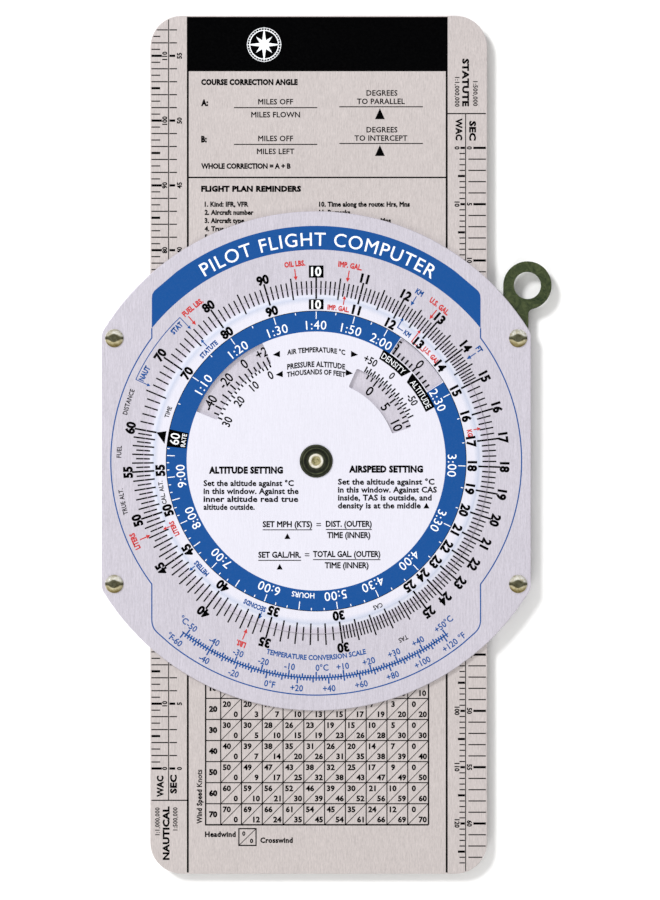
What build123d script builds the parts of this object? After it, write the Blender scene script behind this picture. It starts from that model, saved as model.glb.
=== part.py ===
from build123d import *
import os

# Metal slide-rule flight computer, lying on its back with the calculator side up.
# Two round body plates with straight sides hold a long slide between two spacers.
# +X is to the reader's right, +Y is up the slide, +Z is out of the calculator side.
# The origin is the middle of the outline, on the surface that the back rivet heads rest on.

# ---------------------------------------------------------------- driving dimensions, mm
plate_radius = 71.3
plate_half_width = 61.25
plate_corner_radius = 4.0
plate_edge_radius = 0.3
front_plate_thickness = 1.2
back_plate_thickness = 1.0

slide_width = 96.3
slide_length = 245.3
slide_thickness = 1.0
slide_corner_radius = 9.0
slide_edge_radius = 0.2
slide_centre_x = 0.7
slide_centre_y = 4.65
slide_face_clearance = 0.1
channel_half_width = 49.1

lanyard_ring_x = 60.4
lanyard_ring_y = 50.2
lanyard_ring_radius = 6.9
lanyard_hole_radius = 3.9
lanyard_neck_right = 60.7
lanyard_edge_radius = 0.25
lanyard_neck_blend = 1.5

rivet_x = 57.6
rivet_y = 35.05
rivet_shank_radius = 1.6
rivet_head_radius = 2.6
rivet_foot_radius = 2.1
rivet_foot_height = 0.7
rivet_head_height = 1.0
rivet_head_rim = 0.3
rivet_dimple_radius = 0.7
rivet_dimple_depth = 0.45
rivet_crown_radius = 1.1
rivet_clearance = 0.05

disc_radius = 49.2
disc_thickness = 0.9
disc_rim_break_radius = 46.2
disc_rim_thickness = 0.4
window_corner_radius = 0.5

eyelet_hole_radius = 1.25
eyelet_barrel_radius = 1.6
eyelet_flange_radius = 2.15
eyelet_flange_height = 0.45
eyelet_rolled_radius = 2.4
eyelet_rolled_height = 0.35
pivot_clearance = 0.05

pivot_washer_radius = 4.7
pivot_washer_thickness = 0.45
pivot_washer_ridge_radius = 3.8
pivot_washer_ridge_height = 0.75
pivot_washer_edge_height = 0.25
backing_washer_radius = 3.4
backing_washer_thickness = 0.2
friction_washer_radius = 9.0
friction_washer_hole_radius = 6.0
friction_washer_thickness = 0.15

back_opening_radius = 50.4
azimuth_face_radius = 50.1
azimuth_flange_radius = 52.4
azimuth_flange_thickness = 0.5
azimuth_sight_radius = 40.0
azimuth_rebate_radius = 42.0
azimuth_face_thickness = 0.8
azimuth_edge_radius = 0.15
window_radius = 41.95
window_thickness = 0.65
azimuth_clearance = 0.05

retainer_opening_radius = 46.0
retainer_pocket_radius = 52.7
retainer_pocket_depth = 0.75
retainer_sheet_thickness = 0.4
friction_ring_inner_radius = 47.0
friction_ring_outer_radius = 52.0
friction_ring_thickness = 0.12
friction_ring_clearance = 0.03

grommet_hole_radius = 0.7
grommet_barrel_radius = 1.2
grommet_flange_radius = 1.9
grommet_flange_thickness = 0.2

spring_thickness = 0.3
spring_half_length = 30.0
spring_clearance = 0.1
spring_bow = 1.1
spring_leg_length = 1.8
spring_slot_width = 0.8
spring_slot_depth = 2.0
spring_edge_clearance = 0.15

# Computer disc windows: inner radius, outer radius, first and last angle from +X
disc_windows = [
    (30.6, 37.1, 114.5, 157.5),
    (23.0, 28.8, 19.7, 66.3),
    (37.4, 42.6, 32.0, 55.3),
]

# ---------------------------------------------------------------- places worked out from them
pivot_x = (plate_half_width - lanyard_ring_x - lanyard_ring_radius) / 2
pivot_y = -slide_centre_y

back_plate_z = rivet_foot_height
retainer_z = back_plate_z + back_plate_thickness
pocket_ceiling_z = retainer_z + retainer_pocket_depth
channel_z = pocket_ceiling_z + retainer_sheet_thickness
channel_depth = slide_thickness + 2 * slide_face_clearance
front_plate_z = channel_z + channel_depth
front_face_z = front_plate_z + front_plate_thickness
disc_z = front_face_z + friction_washer_thickness + pivot_clearance
pivot_washer_z = disc_z + disc_thickness + pivot_clearance
eyelet_flange_z = pivot_washer_z + pivot_washer_thickness
azimuth_z = back_plate_z + azimuth_clearance
azimuth_flange_z = retainer_z + azimuth_clearance
azimuth_top_z = azimuth_flange_z + azimuth_flange_thickness
window_z = azimuth_z + azimuth_face_thickness
friction_ring_z = pocket_ceiling_z - friction_ring_clearance - friction_ring_thickness

backing_washer_z = front_plate_z + slide_face_clearance / 2 + eyelet_rolled_height
hub_recess_depth = backing_washer_z + backing_washer_thickness - front_plate_z
spring_crown_x = slide_centre_x - slide_width / 2 - spring_clearance - spring_thickness / 2
spring_end_x = spring_crown_x - spring_bow
rivet_places = [(sx * rivet_x, sy * rivet_y) for sx in (-1, 1) for sy in (-1, 1)]


def level(z):
    """Horizontal sketch plane at height z, centred on the pivot."""
    return Plane(origin=(pivot_x, pivot_y, z))


def profile():
    """Upright plane through the pivot: local x is the radius, local y the height."""
    return Plane(origin=(pivot_x, pivot_y, 0), x_dir=(1, 0, 0), z_dir=(0, -1, 0))


def pivot_axis():
    return Axis((pivot_x, pivot_y, 0), (0, 0, 1))


def plate_outline():
    """Round outline with two straight sides and softened corners, drawn in the open sketch."""
    Circle(plate_radius)
    Rectangle(2 * plate_half_width, 2 * plate_radius, mode=Mode.INTERSECT)
    fillet(vertices(), radius=plate_corner_radius)


def rivet_holes():
    """The four corner holes, cut from the open sketch."""
    with Locations(*rivet_places):
        Circle(rivet_shank_radius + rivet_clearance, mode=Mode.SUBTRACT)


def ring_sector(inner_radius, outer_radius, start_angle, end_angle):
    """Window outline between two radii and two angles, drawn in the open sketch."""
    sweep_angle = end_angle - start_angle
    with BuildLine() as outline:
        inner = CenterArc((0, 0), inner_radius, start_angle, sweep_angle)
        outer = CenterArc((0, 0), outer_radius, start_angle, sweep_angle)
        Line(inner @ 0, outer @ 0)
        Line(inner @ 1, outer @ 1)
    make_face(outline.edges())


def ring_profile(points):
    """Closed outline through (radius, height) points, drawn in the open sketch."""
    with BuildLine() as outline:
        Polyline(*points, close=True)
    make_face(outline.edges())


def write(part, label):
    part.label = label
    export_step(part, f"parts/{label}.step")


os.makedirs("parts", exist_ok=True)

# ---------------------------------------------------------------- front plate
with BuildPart() as front_plate:
    with BuildSketch(level(front_plate_z)):
        plate_outline()
    extrude(amount=front_plate_thickness)
    outer_edges = front_plate.faces().sort_by(Axis.Z)[-1].edges()
    fillet(outer_edges, radius=plate_edge_radius)
    with BuildSketch(level(front_plate_z)):
        with Locations(*rivet_places):
            Circle(rivet_shank_radius + rivet_clearance)
        Circle(eyelet_barrel_radius + pivot_clearance)
    extrude(amount=front_plate_thickness, mode=Mode.SUBTRACT)
    # Recess under the plate that sinks the rolled end of the eyelet clear of the slide
    with BuildSketch(level(front_plate_z)):
        Circle(backing_washer_radius + rivet_clearance)
    extrude(amount=hub_recess_depth, mode=Mode.SUBTRACT)
write(front_plate.part, "front_plate")

# ---------------------------------------------------------------- back plate
with BuildPart() as back_plate:
    with BuildSketch(level(back_plate_z)):
        plate_outline()
    extrude(amount=back_plate_thickness)
    outer_edges = back_plate.faces().sort_by(Axis.Z)[0].edges()
    fillet(outer_edges, radius=plate_edge_radius)
    with BuildSketch(level(back_plate_z)):
        with Locations(*rivet_places):
            Circle(rivet_shank_radius + rivet_clearance)
        Circle(back_opening_radius)
    extrude(amount=back_plate_thickness, mode=Mode.SUBTRACT)
write(back_plate.part, "back_plate")

# ---------------------------------------------------------------- azimuth retainer
# Sheet between the back plate and the slide; its pocket holds the azimuth ring's flange.
with BuildPart() as azimuth_retainer:
    with BuildSketch(level(retainer_z)):
        plate_outline()
        rivet_holes()
        Circle(retainer_pocket_radius, mode=Mode.SUBTRACT)
    extrude(amount=retainer_pocket_depth)
    with BuildSketch(level(pocket_ceiling_z)):
        plate_outline()
        rivet_holes()
        Circle(retainer_opening_radius, mode=Mode.SUBTRACT)
    extrude(amount=retainer_sheet_thickness)
write(azimuth_retainer.part, "azimuth_retainer")

# ---------------------------------------------------------------- left spacer
# The part of the plate's outline beside the channel, with two slots for the slide spring.
with BuildPart() as left_spacer:
    with BuildSketch(level(channel_z)):
        plate_outline()
        with Locations((plate_radius - channel_half_width, 0)):
            Rectangle(2 * plate_radius, 2 * plate_radius, mode=Mode.SUBTRACT)
        rivet_holes()
        with Locations(
            (-channel_half_width - spring_slot_depth / 2, -spring_half_length),
            (-channel_half_width - spring_slot_depth / 2, spring_half_length),
        ):
            Rectangle(spring_slot_depth, spring_slot_width, mode=Mode.SUBTRACT)
    extrude(amount=channel_depth)
write(left_spacer.part, "left_spacer")

# ---------------------------------------------------------------- lanyard spacer
# The right spacer, which runs on past the upper corner as a neck and ring for a lanyard.
lanyard_neck_left = lanyard_ring_x - lanyard_ring_radius
lanyard_neck_width = lanyard_neck_right - lanyard_neck_left
with BuildPart() as lanyard_spacer:
    with BuildSketch(level(channel_z)):
        plate_outline()
        with Locations((channel_half_width - plate_radius, 0)):
            Rectangle(2 * plate_radius, 2 * plate_radius, mode=Mode.SUBTRACT)
        with Locations((lanyard_neck_left + lanyard_neck_width / 2, lanyard_ring_y / 2)):
            Rectangle(lanyard_neck_width, lanyard_ring_y)
        with Locations((lanyard_ring_x, lanyard_ring_y)):
            Circle(lanyard_ring_radius)
        neck_corner = vertices().sort_by_distance(
            (lanyard_neck_right, lanyard_ring_y - lanyard_ring_radius)
        )[0]
        fillet(neck_corner, radius=lanyard_neck_blend)
    extrude(amount=channel_depth)
    ring_faces = lanyard_spacer.faces().filter_by(Axis.Z)
    fillet(ring_faces.edges(), radius=lanyard_edge_radius)
    with BuildSketch(level(channel_z)):
        with Locations(*rivet_places):
            Circle(rivet_shank_radius + rivet_clearance)
        with Locations((lanyard_ring_x, lanyard_ring_y)):
            Circle(lanyard_hole_radius)
    extrude(amount=channel_depth, mode=Mode.SUBTRACT)
write(lanyard_spacer.part, "lanyard_spacer")

# ---------------------------------------------------------------- slide spring
# Bowed strip that presses on the slide's left edge; its two legs sit in the left spacer.
with BuildPart() as slide_spring:
    with BuildSketch(level(channel_z + spring_edge_clearance)):
        with BuildLine():
            bow = ThreePointArc(
                (spring_end_x, -spring_half_length),
                (spring_crown_x, 0),
                (spring_end_x, spring_half_length),
            )
            Line(bow @ 0, (spring_end_x - spring_leg_length, -spring_half_length))
            Line(bow @ 1, (spring_end_x - spring_leg_length, spring_half_length))
        trace(line_width=spring_thickness)
    extrude(amount=channel_depth - 2 * spring_edge_clearance)
write(slide_spring.part, "slide_spring")

# ---------------------------------------------------------------- slide
with BuildPart() as slide:
    with BuildSketch(level(channel_z + slide_face_clearance)):
        with Locations((slide_centre_x, slide_centre_y)):
            RectangleRounded(slide_width, slide_length, slide_corner_radius)
    extrude(amount=slide_thickness)
    slide_faces = slide.faces().filter_by(Axis.Z)
    fillet(slide_faces.edges(), radius=slide_edge_radius)
write(slide.part, "slide")

# ---------------------------------------------------------------- computer disc
# Sheet disc whose rim falls away towards the plate, with three curved windows.
disc_top_z = disc_z + disc_thickness
with BuildPart() as computer_disc:
    with BuildSketch(profile()):
        ring_profile(
            [
                (eyelet_barrel_radius + pivot_clearance, disc_z),
                (disc_radius, disc_z),
                (disc_radius, disc_z + disc_rim_thickness),
                (disc_rim_break_radius, disc_top_z),
                (eyelet_barrel_radius + pivot_clearance, disc_top_z),
            ]
        )
    revolve(axis=pivot_axis())
    for window in disc_windows:
        with BuildSketch(level(disc_z)):
            ring_sector(*window)
            fillet(vertices(), radius=window_corner_radius)
        extrude(amount=disc_thickness, mode=Mode.SUBTRACT)
write(computer_disc.part, "computer_disc")

# ---------------------------------------------------------------- friction washer
with BuildPart() as friction_washer:
    with BuildSketch(level(front_face_z)):
        Circle(friction_washer_radius)
        Circle(friction_washer_hole_radius, mode=Mode.SUBTRACT)
    extrude(amount=friction_washer_thickness)
write(friction_washer.part, "friction_washer")

# ---------------------------------------------------------------- pivot washer
# Moulded washer over the disc's hub, with a raised ridge round it.
pivot_washer_hole = eyelet_barrel_radius + pivot_clearance
with BuildPart() as pivot_washer:
    with BuildSketch(profile()):
        with BuildLine():
            floor_z = pivot_washer_z
            top_z = pivot_washer_z + pivot_washer_thickness
            edge_z = pivot_washer_z + pivot_washer_edge_height
            ridge_z = pivot_washer_z + pivot_washer_ridge_height
            ridge_foot = 2 * pivot_washer_ridge_radius - pivot_washer_radius
            Line((pivot_washer_hole, floor_z), (pivot_washer_radius, floor_z))
            Line((pivot_washer_radius, floor_z), (pivot_washer_radius, edge_z))
            ThreePointArc(
                (pivot_washer_radius, edge_z),
                (pivot_washer_ridge_radius, ridge_z),
                (ridge_foot, top_z),
            )
            Line((ridge_foot, top_z), (pivot_washer_hole, top_z))
            Line((pivot_washer_hole, top_z), (pivot_washer_hole, floor_z))
        make_face()
    revolve(axis=pivot_axis())
write(pivot_washer.part, "pivot_washer")

# ---------------------------------------------------------------- backing washer
with BuildPart() as backing_washer:
    with BuildSketch(level(backing_washer_z)):
        Circle(backing_washer_radius)
        Circle(eyelet_barrel_radius + pivot_clearance, mode=Mode.SUBTRACT)
    extrude(amount=backing_washer_thickness)
write(backing_washer.part, "backing_washer")

# ---------------------------------------------------------------- pivot eyelet
# Hollow eyelet, flanged above the pivot washer and rolled over under the front plate.
eyelet_foot_z = backing_washer_z - eyelet_rolled_height
eyelet_top_z = eyelet_flange_z + eyelet_flange_height
flange_middle = (eyelet_hole_radius + eyelet_flange_radius) / 2
with BuildPart() as pivot_eyelet:
    with BuildSketch(profile()):
        with BuildLine():
            Line((eyelet_hole_radius, eyelet_foot_z), (eyelet_rolled_radius, eyelet_foot_z))
            Line((eyelet_rolled_radius, eyelet_foot_z), (eyelet_rolled_radius, backing_washer_z))
            Line((eyelet_rolled_radius, backing_washer_z), (eyelet_barrel_radius, backing_washer_z))
            Line((eyelet_barrel_radius, backing_washer_z), (eyelet_barrel_radius, eyelet_flange_z))
            Line((eyelet_barrel_radius, eyelet_flange_z), (eyelet_flange_radius, eyelet_flange_z))
            ThreePointArc(
                (eyelet_flange_radius, eyelet_flange_z),
                (flange_middle, eyelet_top_z),
                (eyelet_hole_radius, eyelet_flange_z),
            )
            Line((eyelet_hole_radius, eyelet_flange_z), (eyelet_hole_radius, eyelet_foot_z))
        make_face()
    revolve(axis=pivot_axis())
write(pivot_eyelet.part, "pivot_eyelet")

# ---------------------------------------------------------------- azimuth ring
# Rotating compass ring of the wind side: its face fills the back plate's opening, its
# flange is held above the plate, and its rebate carries the clear window.
with BuildPart() as azimuth_ring:
    with BuildSketch(profile()):
        ring_profile(
            [
                (azimuth_sight_radius, azimuth_z),
                (azimuth_face_radius, azimuth_z),
                (azimuth_face_radius, azimuth_flange_z),
                (azimuth_flange_radius, azimuth_flange_z),
                (azimuth_flange_radius, azimuth_top_z),
                (azimuth_rebate_radius, azimuth_top_z),
                (azimuth_rebate_radius, window_z),
                (azimuth_sight_radius, window_z),
            ]
        )
    revolve(axis=pivot_axis())
    face_edges = azimuth_ring.faces().sort_by(Axis.Z)[0].edges()
    fillet(face_edges, radius=azimuth_edge_radius)
write(azimuth_ring.part, "azimuth_ring")

# ---------------------------------------------------------------- azimuth window
with BuildPart() as azimuth_window:
    with BuildSketch(level(window_z)):
        Circle(window_radius)
        Circle(grommet_barrel_radius + pivot_clearance, mode=Mode.SUBTRACT)
    extrude(amount=window_thickness)
write(azimuth_window.part, "azimuth_window")

# ---------------------------------------------------------------- centre grommet
# Tiny flanged tube that marks the middle of the window.
with BuildPart() as centre_grommet:
    with BuildSketch(profile()):
        ring_profile(
            [
                (grommet_hole_radius, window_z - grommet_flange_thickness),
                (grommet_flange_radius, window_z - grommet_flange_thickness),
                (grommet_flange_radius, window_z),
                (grommet_barrel_radius, window_z),
                (grommet_barrel_radius, window_z + window_thickness),
                (grommet_flange_radius, window_z + window_thickness),
                (grommet_flange_radius, window_z + window_thickness + grommet_flange_thickness),
                (grommet_hole_radius, window_z + window_thickness + grommet_flange_thickness),
            ]
        )
    revolve(axis=pivot_axis())
write(centre_grommet.part, "centre_grommet")

# ---------------------------------------------------------------- azimuth friction ring
with BuildPart() as azimuth_friction_ring:
    with BuildSketch(level(friction_ring_z)):
        Circle(friction_ring_outer_radius)
        Circle(friction_ring_inner_radius, mode=Mode.SUBTRACT)
    extrude(amount=friction_ring_thickness)
write(azimuth_friction_ring.part, "azimuth_friction_ring")

# ---------------------------------------------------------------- corner rivets
# Flat foot behind, shank through all five layers, domed head with a dimple in front.
rivet_names = {
    (-rivet_x, -rivet_y): "rivet_lower_left",
    (-rivet_x, rivet_y): "rivet_upper_left",
    (rivet_x, -rivet_y): "rivet_lower_right",
    (rivet_x, rivet_y): "rivet_upper_right",
}
foot_edge_z = rivet_foot_height - rivet_head_rim
head_rim_z = front_face_z + rivet_head_rim
head_top_z = front_face_z + rivet_head_height
dome_middle_radius = (rivet_head_radius + rivet_crown_radius) / 2
dome_middle_z = head_rim_z + 0.75 * (head_top_z - head_rim_z)
for (x, y), rivet_name in rivet_names.items():
    rivet_x_dir = (1, 0, 0)
    rivet_origin = (pivot_x + x, pivot_y + y, 0)
    with BuildPart() as rivet:
        with BuildSketch(Plane(origin=rivet_origin, x_dir=rivet_x_dir, z_dir=(0, -1, 0))):
            with BuildLine():
                Polyline(
                    (0, 0),
                    (rivet_foot_radius, 0),
                    (rivet_head_radius, foot_edge_z),
                    (rivet_head_radius, rivet_foot_height),
                    (rivet_shank_radius, rivet_foot_height),
                    (rivet_shank_radius, front_face_z),
                    (rivet_head_radius, front_face_z),
                    (rivet_head_radius, head_rim_z),
                )
                ThreePointArc(
                    (rivet_head_radius, head_rim_z),
                    (dome_middle_radius, dome_middle_z),
                    (rivet_crown_radius, head_top_z),
                )
                Polyline(
                    (rivet_crown_radius, head_top_z),
                    (rivet_dimple_radius, head_top_z),
                    (rivet_dimple_radius, head_top_z - rivet_dimple_depth),
                    (0, head_top_z - rivet_dimple_depth),
                    (0, 0),
                )
            make_face()
        revolve(axis=Axis(rivet_origin, (0, 0, 1)))
    write(rivet.part, rivet_name)
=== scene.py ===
import math
from functools import cache

import bpy
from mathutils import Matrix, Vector


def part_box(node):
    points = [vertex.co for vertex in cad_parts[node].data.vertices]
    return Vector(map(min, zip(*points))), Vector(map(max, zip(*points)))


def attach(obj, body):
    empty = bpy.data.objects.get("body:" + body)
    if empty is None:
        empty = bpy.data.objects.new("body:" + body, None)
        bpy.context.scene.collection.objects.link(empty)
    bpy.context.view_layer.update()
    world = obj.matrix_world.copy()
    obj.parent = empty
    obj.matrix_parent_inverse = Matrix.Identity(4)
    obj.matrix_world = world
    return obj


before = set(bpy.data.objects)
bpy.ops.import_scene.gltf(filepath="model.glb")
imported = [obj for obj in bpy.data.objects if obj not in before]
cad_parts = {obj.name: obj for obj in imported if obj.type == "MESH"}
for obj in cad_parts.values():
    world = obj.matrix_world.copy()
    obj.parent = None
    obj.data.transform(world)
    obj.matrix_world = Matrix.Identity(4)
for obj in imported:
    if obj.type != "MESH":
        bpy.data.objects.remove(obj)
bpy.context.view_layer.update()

# ------ places read from the frame
MM = 0.001


def middle(node):
    low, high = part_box(node)
    return (low + high) / 2


PIVOT = middle("pivot_eyelet")
PLATE_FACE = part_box("front_plate")[1].z / MM
SLIDE_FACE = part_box("slide")[1].z / MM
SLIDE_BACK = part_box("slide")[0].z / MM
DISC_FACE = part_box("computer_disc")[1].z / MM
BACK_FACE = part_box("back_plate")[0].z / MM
AZIMUTH_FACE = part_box("azimuth_ring")[0].z / MM
WINDOW_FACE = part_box("azimuth_window")[0].z / MM

slide_low, slide_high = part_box("slide")
SLIDE_LEFT = (slide_low.x - PIVOT.x) / MM
SLIDE_RIGHT = (slide_high.x - PIVOT.x) / MM
SLIDE_BOTTOM = (slide_low.y - PIVOT.y) / MM
SLIDE_TOP = (slide_high.y - PIVOT.y) / MM

DISC_RADIUS = 49.2
RIM_BREAK_RADIUS = 46.2
RIM_DROP = 0.5
LOW_WINDOW = (30.6, 37.1)
SPEED_WINDOW = (23.0, 28.8)
TIME_RING = (36.9, 42.7)
DENSITY_WINDOW = (37.4, 42.6)
DENSITY_WINDOW_CLOCK = (34.7, 58.0)


# ------ flat shapes, in millimetres
def clock_point(radius, clock):
    """Point at a radius and an angle measured clockwise from the top."""
    turn = math.radians(clock)
    return radius * math.sin(turn), radius * math.cos(turn)


def arc_points(radius, start, end, step=1.0):
    count = max(2, int(abs(end - start) / step) + 2)
    return [clock_point(radius, start + (end - start) * i / (count - 1)) for i in range(count)]


def strip(left, right):
    """Band between two rows of points, one quad for each step."""
    count = len(left)
    faces = [(i, i + 1, count + i + 1, count + i) for i in range(count - 1)]
    return left + right, faces


def stroke(points, width, closed=False):
    """Line of even width along points, mitred at its corners."""
    rows = ([], [])
    count = len(points)
    for i, (x, y) in enumerate(points):
        first = direction(points[i - 1], (x, y)) if i or closed else None
        second = direction((x, y), points[(i + 1) % count]) if i < count - 1 or closed else first
        first = first or second
        nx, ny = -(first[1] + second[1]), first[0] + second[0]
        size = math.hypot(nx, ny)
        nx, ny = nx / size, ny / size
        reach = width / 2 / max(0.4, nx * -first[1] + ny * first[0])
        rows[0].append((x - nx * reach, y - ny * reach))
        rows[1].append((x + nx * reach, y + ny * reach))
    if closed:
        rows[0].append(rows[0][0])
        rows[1].append(rows[1][0])
    return strip(rows[0], rows[1])


def direction(a, b):
    size = math.hypot(b[0] - a[0], b[1] - a[1])
    return (b[0] - a[0]) / size, (b[1] - a[1]) / size


def box_shape(x0, y0, x1, y1):
    return [(x0, y0), (x1, y0), (x1, y1), (x0, y1)], [(0, 1, 2, 3)]


def facing_up(points, faces):
    """The same faces, each wound so that it looks up."""

    def area(face):
        ring = [points[i] for i in face]
        return sum(a[0] * b[1] - b[0] * a[1] for a, b in zip(ring, ring[1:] + ring[:1]))

    return points, [f if area(f) > 0 else f[::-1] for f in faces]


def polygon(points):
    return facing_up(points, [tuple(range(len(points)))])


def ring_shape(inner, outer, start=0.0, end=360.0, step=1.5):
    """Ring sector, drawn so that its faces look up."""
    return strip(arc_points(outer, end, start, step), arc_points(inner, end, start, step))


def ray(clock, inner, outer, width, breaks=()):
    """Radial tick, with extra points at the break radii so that it can follow a bend."""
    radii = [inner] + [r for r in breaks if inner < r < outer] + [outer]
    along = [clock_point(r, clock) for r in radii]
    side_x, side_y = clock_point(width / 2, clock + 90)
    right = [(x + side_x, y + side_y) for x, y in along]
    left = [(x - side_x, y - side_y) for x, y in along]
    return strip(right, left)


def turned(points, angle, x=0.0, y=0.0):
    """Points turned anticlockwise by an angle in degrees, then moved."""
    c, s = math.cos(math.radians(angle)), math.sin(math.radians(angle))
    return [(x + c * px - s * py, y + s * px + c * py) for px, py in points]


# ------ lettering
def raw_text(text, spacing, steps):
    """Flat mesh of a text at font size 1: points and faces that look up."""
    curve = bpy.data.curves.new("lettering", "FONT")
    curve.body = text
    curve.space_character = spacing
    curve.resolution_u = steps
    curve.fill_mode = "FRONT"
    holder = bpy.data.objects.new("lettering", curve)
    mesh = bpy.data.meshes.new_from_object(holder)
    points = [(v.co.x, v.co.y) for v in mesh.vertices]
    faces = [tuple(p.vertices) for p in mesh.polygons if p.area > 1e-9]
    bpy.data.objects.remove(holder)
    bpy.data.curves.remove(curve)
    bpy.data.meshes.remove(mesh)
    return facing_up(points, faces)


def rim_edges(faces):
    """Edges that only one face uses, in that face's direction."""
    directed = {(f[i], f[(i + 1) % len(f)]) for f in faces for i in range(len(f))}
    return [(a, b) for a, b in directed if (b, a) not in directed]


MITRE_LIMIT = 0.6


def emboldened(points, faces, weight):
    """The same letters with every outline moved outwards by weight."""
    normals = {}
    for a, b in sorted(rim_edges(faces)):
        along = direction(points[a], points[b])
        for corner in (a, b):
            normals.setdefault(corner, []).append((along[1], -along[0]))
    moved = list(points)
    for corner, sides in normals.items():
        x = sum(n[0] for n in sides)
        y = sum(n[1] for n in sides)
        size = math.hypot(x, y)
        if size > 0.05:
            x, y = x / size, y / size
            reach = weight / max(MITRE_LIMIT, x * sides[0][0] + y * sides[0][1])
            moved[corner] = (points[corner][0] + x * reach, points[corner][1] + y * reach)
    return moved, faces


@cache
def letters(text, weight, spacing, steps):
    return emboldened(*raw_text(text, spacing, steps), weight)


SMALL_STEPS, LARGE_STEPS, LARGE_LETTER = 2, 4, 2.3
CAP_HEIGHT = max(y for _, y in raw_text("H", 1.0, SMALL_STEPS)[0])


def text_shape(text, height, squeeze=0.8, weight=0.02, spacing=1.0, anchor="middle", width=None):
    """A text whose capitals are height tall, centred on y = 0 and anchored on x = 0."""
    points, faces = letters(text, weight, spacing, LARGE_STEPS if height > LARGE_LETTER else SMALL_STEPS)
    scale = height / (CAP_HEIGHT + 2 * weight)
    xs = [p[0] for p in points]
    low, high = min(xs), max(xs)
    if width:
        squeeze = width / (high - low) / scale
    start = {"left": low, "middle": (low + high) / 2, "right": high}[anchor]
    placed = [((x - start) * scale * squeeze, (y + weight) * scale - height / 2) for x, y in points]
    return placed, faces


def bent(shape, radius, clock, tops_outward=True):
    """A shape's x axis wrapped round a circle about the pivot."""
    sign = 1 if tops_outward else -1
    points, faces = shape
    turn = sign / radius
    return [clock_point(radius + sign * y, clock + math.degrees(x * turn)) for x, y in points], faces


# ------ printed ink
INK_FILM = 0.012
INK_SINK = 0.006
INK_STEP = 0.0022
INK_STEPS = 6
LAYER_STEP = 0.016


def flat(height):
    return lambda x, y: height


def disc_surface(x, y):
    """Height of the computer disc's face, which falls away along its rim."""
    radius = math.hypot(x, y)
    fall = (radius - RIM_BREAK_RADIUS) / (DISC_RADIUS - RIM_BREAK_RADIUS)
    return DISC_FACE - RIM_DROP * max(0.0, fall)


class Print:
    """Ink of one colour on one body: flat shapes that become one piece of thin closed solids."""

    def __init__(self, name, body, slot, surface, layer=0, looks_down=False):
        self.name, self.body, self.slot = name, body, slot
        self.surface, self.layer, self.looks_down = surface, layer, looks_down
        self.points, self.faces, self.count = [], [], 0

    def add(self, shape, x=0.0, y=0.0, angle=0.0):
        points, faces = shape
        if x or y or angle:
            points = turned(points, angle, x, y)
        film = INK_FILM + self.layer * LAYER_STEP + (self.count % INK_STEPS) * INK_STEP
        self.count += 1
        start, size = len(self.points), len(points)
        self.points += [self.place(px, py, -INK_SINK) for px, py in points]
        self.points += [self.place(px, py, film) for px, py in points]
        for face in faces:
            self.faces.append(tuple(start + size + i for i in face))
            self.faces.append(tuple(start + i for i in reversed(face)))
        for a, b in sorted(rim_edges(faces)):
            self.faces.append((start + a, start + b, start + size + b, start + size + a))

    def place(self, x, y, film):
        """Millimetres about the pivot to the frame's metres; back prints are drawn as seen from behind."""
        if self.looks_down:
            x, z = -x, self.surface(x, y) - film
        else:
            z = self.surface(x, y) + film
        return PIVOT.x + x * MM, PIVOT.y + y * MM, z * MM

    def text(self, text, x, y, height, angle=0.0, **style):
        self.add(text_shape(text, height, **style), x, y, angle)

    def arc_text(self, text, radius, clock, height, tops_outward=True, **style):
        self.add(bent(text_shape(text, height, **style), radius, clock, tops_outward))

    def line(self, x0, y0, x1, y1, width):
        self.add(stroke([(x0, y0), (x1, y1)], width))

    def arrow(self, clock, tail, head, width=0.22, barb=0.55, length=1.0):
        """Radial arrow whose point is at radius head."""
        inward = -1 if head < tail else 1
        neck = head - inward * length
        self.add(ray(clock, min(tail, neck), max(tail, neck), width, (RIM_BREAK_RADIUS,)))
        side = math.degrees(barb / neck)
        corners = [clock_point(head, clock)]
        corners += [clock_point(neck, clock - side), clock_point(neck, clock + side)]
        self.add(polygon(corners))

    def captions(self, rows, height, **style):
        """Curved captions, each given as text, radius and clock angle."""
        for caption, radius, clock in rows:
            self.arc_text(caption, radius, clock, height, **style)

    def build(self, material):
        mesh = bpy.data.meshes.new(self.name)
        mesh.from_pydata(self.points, [], self.faces)
        mesh.validate()
        mesh.materials.append(material)
        piece = bpy.data.objects.new(self.name, mesh)
        bpy.context.scene.collection.objects.link(piece)
        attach(piece, self.body)


def sheets(name, body, surface, layers, looks_down=False):
    """One Print for each ink, where layers gives how high each ink lies over the others."""
    return [Print(f"{name}_{ink}", body, "ink_" + ink, surface, layer, looks_down)
            for ink, layer in layers.items()]


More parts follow.
